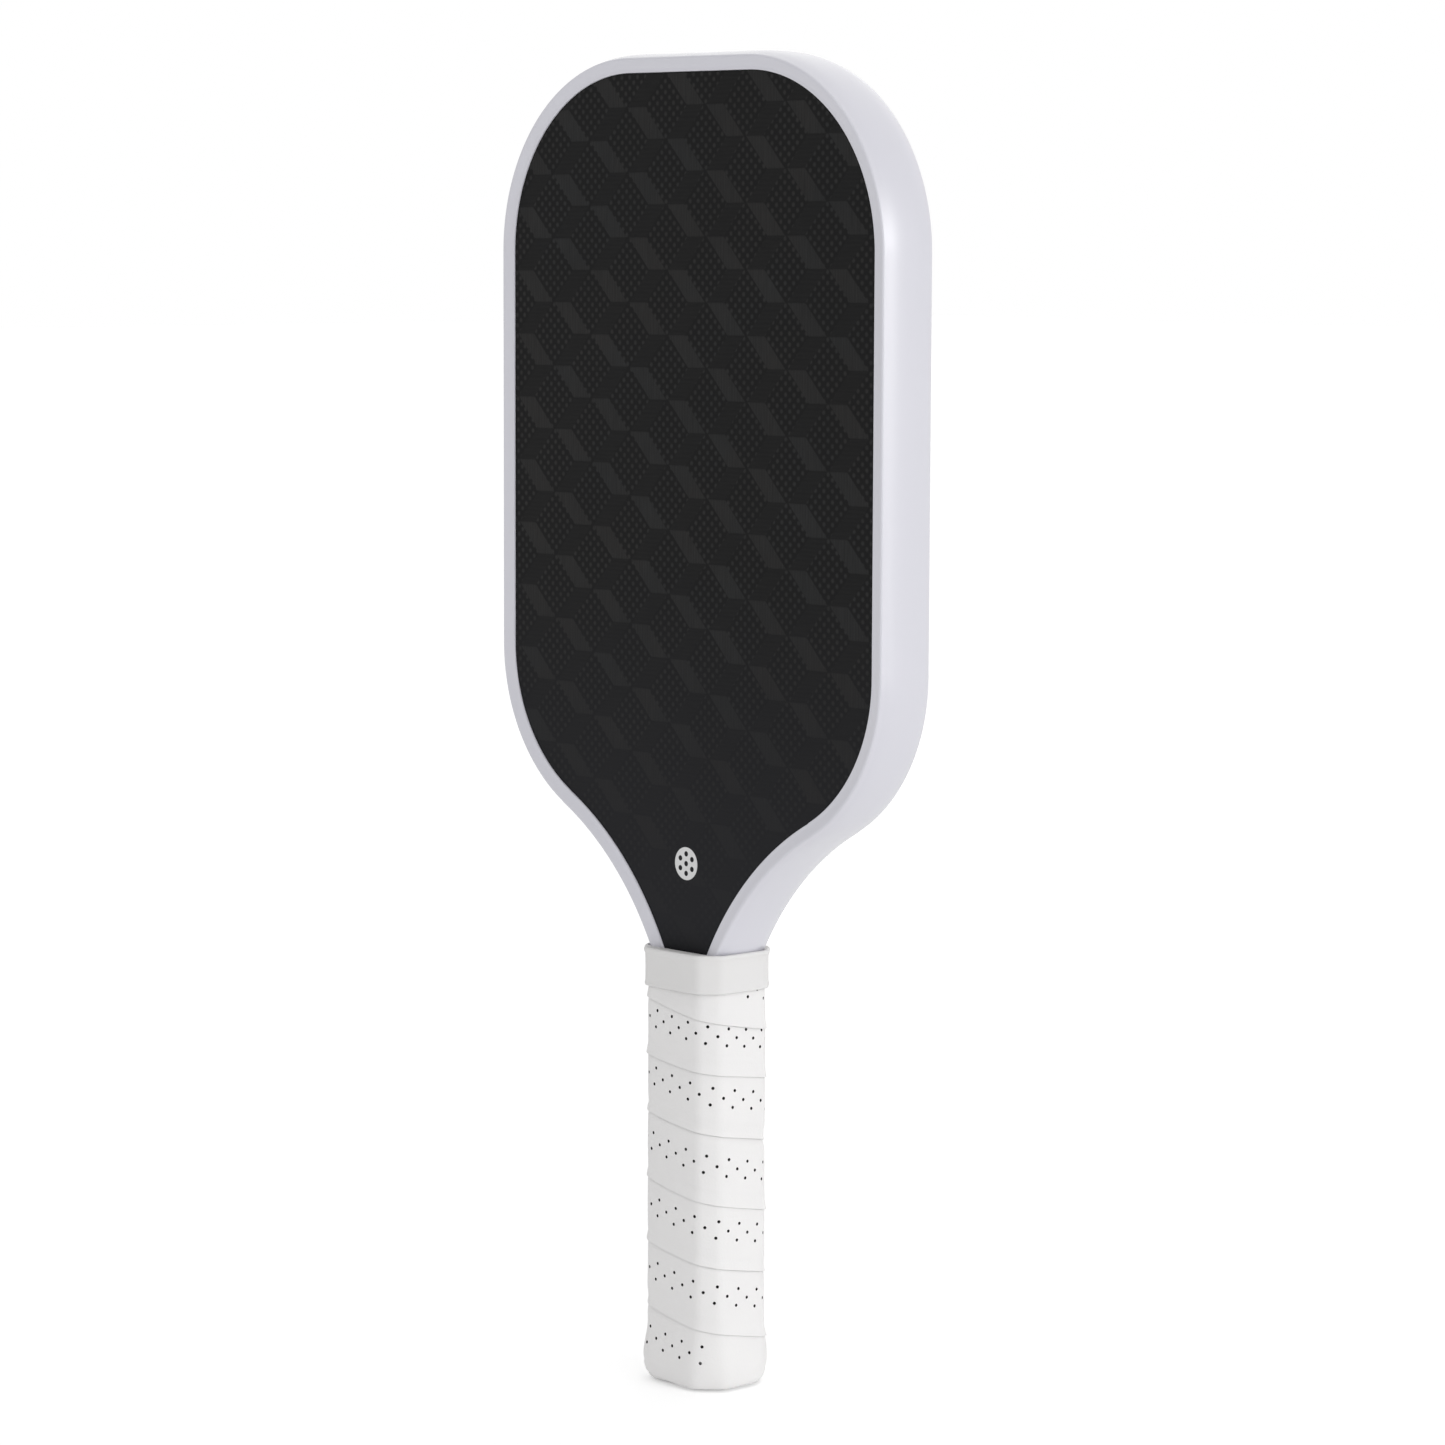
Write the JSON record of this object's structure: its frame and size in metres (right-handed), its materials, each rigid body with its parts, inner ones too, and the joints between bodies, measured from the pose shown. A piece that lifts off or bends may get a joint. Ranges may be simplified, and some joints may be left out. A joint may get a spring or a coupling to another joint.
{
  "type": "pickleball paddle",
  "caption": "Elongated pickleball paddle: black woven faces in a white edge guard, curved throat, rubber collar and a white perforated wrapped grip on an octagonal handle.",
  "frame": {"origin": "centre of the butt's flat bottom", "axes": "+Z from the butt to the top of the head, +X across the head, -Y out of the front striking face"},
  "size_m": [0.1768, 0.0314, 0.4191],
  "materials": {
    "guard_white": "satin moulded white",
    "clear_adhesive": "cured clear adhesive",
    "woven_carbon": "black woven fibre in a low-sheen resin",
    "glass_ply": "glass cloth in resin",
    "film_adhesive": "amber adhesive film",
    "honeycomb_polymer": "moulded polymer honeycomb",
    "edge_foam": "fine closed-cell foam",
    "dense_foam": "dense structural foam",
    "pallet_foam": "rigid foam with a moulded skin",
    "cap_plastic": "fine-textured moulded white",
    "staple_steel": "bright zinc-plated wire",
    "backing_tape": "double-sided tape",
    "grip_white": "soft perforated polyurethane",
    "finishing_tape": "white vinyl tape",
    "collar_rubber": "smooth white silicone rubber"
  },
  "bodies": {
    "root": {"edge_guard": "guard_white", "edge_guard_adhesive": "clear_adhesive", "front_weave_skin": "woven_carbon", "front_backing_ply": "glass_ply", "front_adhesive_film": "film_adhesive", "honeycomb_core": "honeycomb_polymer", "perimeter_foam": "edge_foam", "handle_core": "dense_foam", "rear_adhesive_film": "film_adhesive", "rear_backing_ply": "glass_ply", "rear_weave_skin": "woven_carbon", "front_handle_pallet": "pallet_foam", "rear_handle_pallet": "pallet_foam", "front_pallet_adhesive": "film_adhesive", "rear_pallet_adhesive": "film_adhesive", "butt_cap": "cap_plastic", "butt_cap_staples": "staple_steel", "grip_backing_tape": "backing_tape", "grip_wrap": "grip_white", "finishing_tape": "finishing_tape", "grip_collar": "collar_rubber"}
  },
  "joints": []
}
